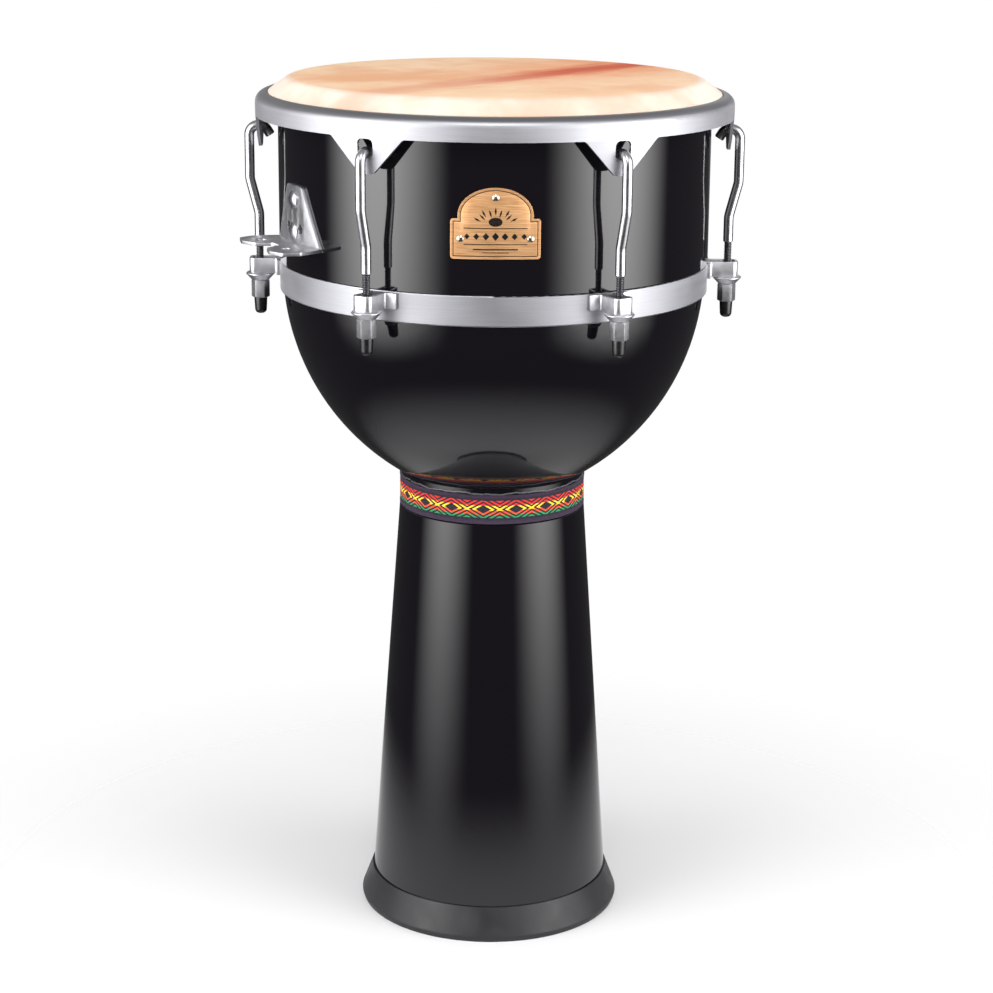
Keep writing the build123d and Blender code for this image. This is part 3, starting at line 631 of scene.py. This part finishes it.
def hooked_rod():
    """Round steel rod at the +X lug: thread, thick shank, joggle outward, hook over the ear."""
    low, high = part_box("hook_rod_1")
    thick, end_radius, chamfer = 4.0 * MM, 3.3 * MM, 0.7 * MM
    lower, shoulder, hook, bend = 192.5 * MM, 577.5 * MM, 8.0 * MM, 16.0 * MM
    upper, hook_z = high.x - thick, high.z - hook - thick
    low_bend, joggle = 598.5 * MM, 28.0 * MM
    high_bend = low_bend + joggle
    hook_turned, tail = 148, 4.2 * MM
    slant = atan2(upper - lower, joggle)
    cut = bend * sin(slant / 2) / cos(slant / 2)
    nothing_selected()
    bpy.ops.mesh.primitive_circle_add(
        vertices=28, radius=end_radius, fill_type="NGON", location=(lower, 0, shoulder))
    shank = bpy.context.object
    bpy.ops.object.mode_set(mode="EDIT")
    bpy.ops.mesh.select_all(action="SELECT")
    extruded((0, 0, chamfer))
    grown = thick / end_radius
    bpy.ops.transform.resize(value=(grown, grown, 1), center_override=(lower, 0, shoulder))
    extruded((0, 0, low_bend - cut - shoulder - chamfer))
    turned = slant * 180 / pi
    bent(4, turned, (lower + bend, low_bend - cut))
    run = joggle / cos(slant) - 2 * cut
    extruded((run * sin(slant), 0, run * cos(slant)))
    bent(4, -turned, (upper - bend, high_bend + cut))
    extruded((0, 0, hook_z - high_bend - cut))
    bent(20, -hook_turned, (upper - hook, hook_z))
    way, reach = radians(hook_turned), tail + chamfer
    for length in (tail, chamfer):
        extruded((-length * sin(way), 0, length * cos(way)))
    tip = (upper - hook + hook * cos(way) - reach * sin(way), 0,
           hook_z + hook * sin(way) + reach * cos(way))
    bpy.ops.transform.resize(value=(0.82, 0.82, 0.82), center_override=tip)
    bpy.ops.object.mode_set(mode="OBJECT")
    place_applied(shank)

    pitch, crest, root = 1.27 * MM, 3.175 * MM, 2.45 * MM
    turns = int((shoulder + 1 * MM - low.z) / pitch)
    thread = drawn_outline("thread", [
        (root, 0), (crest, 0.42 * pitch), (crest, 0.55 * pitch), (root, 0.97 * pitch),
        (root, pitch)])
    modifier(thread, "SCREW", angle=2 * pi, steps=16, render_steps=16, iterations=turns - 1,
             screw_offset=pitch, axis="Z", use_merge_vertices=True, merge_threshold=0.001 * MM)
    made_active(thread)
    bpy.ops.object.mode_set(mode="EDIT")
    bpy.ops.mesh.select_all(action="SELECT")
    bpy.ops.mesh.remove_doubles(threshold=0.002 * MM)
    bpy.ops.mesh.fill_holes(sides=0)
    bpy.ops.mesh.select_all(action="SELECT")
    bpy.ops.mesh.normals_make_consistent(inside=False)
    bpy.ops.object.mode_set(mode="OBJECT")
    thread.location = (lower, 0, low.z + 0.1 * MM)
    place_applied(thread)
    thread.data.materials.append(oiled_thread)
    shank.data.materials.append(rod_steel)
    nothing_selected()
    thread.select_set(True)
    shank.select_set(True)
    bpy.context.view_layer.objects.active = shank
    bpy.ops.object.join()
    return smooth(shank, 34)


copies_round(hooked_rod(), "hooked_rod", "crown", "hook_rod", None, "polished_steel")
copies_round(eased("lug_bracket_1", "lug", 0.45 * MM), "lug", "shell", "lug_bracket", plate_steel,
             "polished_steel")
copies_round(eased("dish_washer_1", "washer", 0.35 * MM), "washer", "shell", "dish_washer",
             plate_steel, "polished_steel")
copies_round(eased("tuning_nut_1", "hex_nut", 0.3 * MM), "hex_nut", "nut_{}", "tuning_nut",
             plate_steel, "polished_steel")
copies_round(eased("end_cap_1", "cap", 0.4 * MM), "cap", "nut_{}", "end_cap", vinyl,
             "black_plastic")


# ======================= strap bracket, badge =======================

finished(eased("strap_bracket", "strap_plate", 0.5 * MM), plate_steel, "shell", "strap_bracket",
         slot="polished_steel")


def wrapped(piece, face, centre, foot):
    """Bends a flat upright piece round the drum: x becomes the way round, -y the way out."""
    for v in piece.data.vertices:
        turn, out = centre + v.co.x / face, face - v.co.y
        v.co = Vector((out * cos(turn), out * sin(turn), v.co.z + foot))


BADGE_FACE, BADGE_TURN = 175.6 * MM, radians(270.5)
BADGE_THICK, LINE_DEPTH = 1.2 * MM, 0.45 * MM


def badge(foot):
    """Small arched brass plate: raised rim, brushed field, sunk line filled with black. The
    outline's numbers are millimetres."""
    half, shoulder, arch_half, arch_foot, arch_rise = 34.0, 30.5, 28.5, 33.0, 21.0
    half_outline = [(half - 2, 0), (half - 0.6, 0.6), (half, 2), (half, shoulder - 2),
                    (half - 0.6, shoulder - 0.6), (half - 2, shoulder), (arch_half, shoulder)]
    half_outline += [(arch_half * cos(radians(a)), arch_foot + arch_rise * sin(radians(a)))
                     for a in range(0, 90, 6)]
    points = half_outline + [(0, arch_foot + arch_rise)] + [(-x, z) for x, z in half_outline[::-1]]
    plate = drawn_outline("badge", [(x * MM, z * MM) for x, z in points + points[:1]])
    bpy.ops.object.mode_set(mode="EDIT")
    bpy.ops.mesh.select_all(action="SELECT")
    bpy.ops.mesh.remove_doubles(threshold=0.01 * MM)
    bpy.ops.mesh.edge_face_add()
    extruded((0, -BADGE_THICK, 0))
    bpy.ops.mesh.select_all(action="SELECT")
    bpy.ops.mesh.normals_make_consistent(inside=False)
    bpy.ops.mesh.select_mode(type="FACE")
    bpy.ops.mesh.select_all(action="DESELECT")
    bpy.ops.object.mode_set(mode="OBJECT")
    for polygon in plate.data.polygons:
        polygon.select = polygon.center.y < 0.01 * MM - BADGE_THICK
    bpy.ops.object.mode_set(mode="EDIT")
    # Rounding of the edge, rim, wall down into the line, the line, wall up to the field.
    steps = ((0.25 * MM, 0.0), (1.5 * MM, 0.0), (0.12 * MM, -LINE_DEPTH), (0.55 * MM, 0.0),
             (0.12 * MM, 0.30 * MM))
    for wide, raised in steps:
        bpy.ops.mesh.inset(thickness=wide, depth=raised)
    bpy.ops.mesh.select_mode(type="VERT")
    for k in range(-13, 14):
        bpy.ops.mesh.select_all(action="SELECT")
        bpy.ops.mesh.bisect(plane_co=(2.5 * k * MM + 0.01 * MM, 0, 0), plane_no=(1, 0, 0))
    bpy.ops.mesh.select_all(action="SELECT")
    bpy.ops.mesh.normals_make_consistent(inside=False)
    bpy.ops.object.mode_set(mode="OBJECT")
    plate.data.materials.append(brass)
    plate.data.materials.append(enamel)
    for polygon in plate.data.polygons:
        in_line = abs(polygon.center.y + BADGE_THICK - LINE_DEPTH) < 0.02 * MM
        polygon.material_index = 1 if in_line else 0
    wrapped(plate, BADGE_FACE, BADGE_TURN, foot)
    modifier(
        plate, "BEVEL", width=0.2 * MM, segments=2, limit_method="ANGLE", angle_limit=radians(50)
    )
    smooth(plate, 30)
    finished(plate, None, "shell", "badge_plate", slot="brass")


def lozenge(x, z, half_wide, half_high, turned=0.0, corners=4):
    """One upright flat mark of the badge, in millimetres."""
    nothing_selected()
    bpy.ops.mesh.primitive_circle_add(
        vertices=corners, radius=1.0, fill_type="NGON", location=(x * MM, 0, z * MM),
        rotation=(pi / 2, 0, 0))
    mark = bpy.context.object
    mark.scale = (half_wide * MM, half_high * MM, 1)
    mark.rotation_euler = (pi / 2, turned, 0)
    return place_applied(mark)


def rule(z, half_wide, thick):
    """One level line of the badge, in millimetres."""
    nothing_selected()
    bpy.ops.mesh.primitive_grid_add(
        x_subdivisions=16, y_subdivisions=1, size=2.0, location=(0, 0, z * MM),
        rotation=(pi / 2, 0, 0))
    mark = bpy.context.object
    mark.scale = (half_wide * MM, thick / 2 * MM, 1)
    return place_applied(mark)


def badge_ornament(foot):
    """A plain row of lozenges between rules, under rays round a disc, in black enamel."""
    marks = [lozenge(7.2 * k, 17.2, 2.7 - 0.2 * abs(k), 3.1 - 0.3 * abs(k)) for k in range(-3, 4)]
    marks += [rule(z, half_wide, thick) for z, half_wide, thick in (
        (23.4, 24.0, 0.6), (11.2, 24.0, 0.6), (7.4, 17.0, 0.9), (5.0, 10.0, 0.5))]
    for k in range(-4, 5):
        lean = radians(19 * k)
        reach = 9.5 if k % 2 else 11.5
        marks.append(lozenge(reach * sin(lean) * 1.25, 28.0 + reach * cos(lean) * 0.72, 0.75, 3.2,
                             turned=lean * 0.8))
    marks.append(lozenge(0, 28.2, 5.2, 3.4, corners=24))
    nothing_selected()
    for mark in marks:
        mark.select_set(True)
    bpy.context.view_layer.objects.active = marks[0]
    bpy.ops.object.join()
    ornament = bpy.context.object
    ornament.name = ornament.data.name = "badge_ornament"
    bpy.ops.object.mode_set(mode="EDIT")
    bpy.ops.mesh.select_all(action="SELECT")
    extruded((0, -0.3 * MM, 0))
    bpy.ops.mesh.select_all(action="SELECT")
    bpy.ops.mesh.normals_make_consistent(inside=False)
    bpy.ops.object.mode_set(mode="OBJECT")
    wrapped(ornament, BADGE_FACE + 0.88 * MM, BADGE_TURN, foot)
    smooth(ornament, 30)
    finished(ornament, enamel, "shell", slot="black_plastic")


badge_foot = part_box("badge_plate")[0].z
badge(badge_foot)
badge_ornament(badge_foot)
stretched_skin()
glued_ribbon()
glue_line()


# ======================= floor, lights and camera =======================

def pale_floor():
    """A round of white seamless paper that fades out into the white backdrop."""
    nothing_selected()
    bpy.ops.mesh.primitive_circle_add(vertices=96, radius=0.64, fill_type="NGON")
    floor = bpy.context.object
    floor.name = "floor"
    material, tree, shader = new_material("white_seamless_paper")
    shader.inputs["Base Color"].default_value = (0.68, 0.68, 0.685, 1.0)
    shader.inputs["Roughness"].default_value = 0.9
    shader.inputs["Specular IOR Level"].default_value = 0.1
    out = round_place(tree, 1.0)[3]
    full_to, gone_at = 0.15, 0.62
    tree.links.new(ramp(tree, out, full_to, gone_at, 1.0, 0.0), shader.inputs["Alpha"])
    floor.data.materials.append(material)
    return floor


def softbox(name, place, aim, size, radiance):
    """Rectangular softbox, brightest at its middle and fading smoothly to its edges."""
    light = bpy.data.lights.new(name, "AREA")
    light.shape = "RECTANGLE"
    light.size, light.size_y = size
    light.energy = radiance * pi * size[0] * size[1]
    light.use_nodes = True
    tree = light.node_tree
    where = node(tree, "ShaderNodeNewGeometry").outputs["Parametric"]
    parts = node(tree, "ShaderNodeSeparateXYZ", None, i0=where).outputs
    fade = 1.0
    for k in (0, 1):
        off = math(tree, "ABSOLUTE", math(tree, "SUBTRACT", parts[k], 0.5))
        fade = math(tree, "MULTIPLY", ramp(tree, off, 0.0, 0.5, 1.0, 0.0), fade)
    tree.links.new(fade, tree.nodes["Emission"].inputs["Strength"])
    lamp = bpy.data.objects.new(name, light)
    bpy.context.scene.collection.objects.link(lamp)
    lamp.location = place
    lamp.rotation_euler = (Vector(aim) - Vector(place)).to_track_quat("-Z", "Y").to_euler()
    lamp.visible_camera = False
    return lamp


def studio_world():
    """White backdrop where it is looked at and for soft light all round. Gloss mirrors a dark
    room with a pale ceiling."""
    world = bpy.data.worlds.new("studio")
    world.use_nodes = True
    bpy.context.scene.world = world
    tree = world.node_tree
    path = node(tree, "ShaderNodeLightPath").outputs
    way = node(tree, "ShaderNodeTexCoord").outputs["Generated"]
    upward = node(tree, "ShaderNodeSeparateXYZ", None, i0=way).outputs[2]
    soft_light, dark_room, pale_ceiling = 0.6, 0.05, 0.35
    mirrored = ramp(tree, upward, 0.12, 0.6, dark_room, pale_ceiling)
    less = math(tree, "SUBTRACT", mirrored, soft_light)
    room = math(tree, "MULTIPLY_ADD", path["Is Glossy Ray"], less, soft_light)
    seen = math(tree, "MAXIMUM", path["Is Camera Ray"], room)
    tree.nodes["Background"].inputs["Color"].default_value = (1.0, 1.0, 1.0, 1.0)
    tree.links.new(seen, tree.nodes["Background"].inputs["Strength"])


pale_floor()
studio_world()
softbox("left_softbox", (-1.145, -0.715, 0.75), (0, 0, 0.75), (2.1, 2.4), 7.8)
softbox("right_softbox", (1.19, -0.64, 0.75), (0, 0, 0.75), (2.1, 2.4), 7.8)
softbox("rear_softbox", (0.35, 1.9, 1.0), (0, 0, 0.5), (1.3, 1.8), 1.1)
softbox("overhead_front", (0, -1.6, 1.95), (0, 0, 0.6), (1.3, 1.6), 9.5)

eye = bpy.data.cameras.new("view")
eye.sensor_width = 36.0
eye.lens = 89.07
camera = bpy.data.objects.new("view", eye)
bpy.context.scene.collection.objects.link(camera)
looking_down, rolled = 15.247, 0.481
turn = (Matrix.Rotation(radians(90 - looking_down), 4, "X")
        @ Matrix.Rotation(radians(rolled), 4, "Z"))
camera.matrix_world = Matrix.Translation((0.00393, -2.00508, 0.90511)) @ turn
bpy.context.scene.camera = camera
bpy.context.scene.view_settings.view_transform = "Standard"
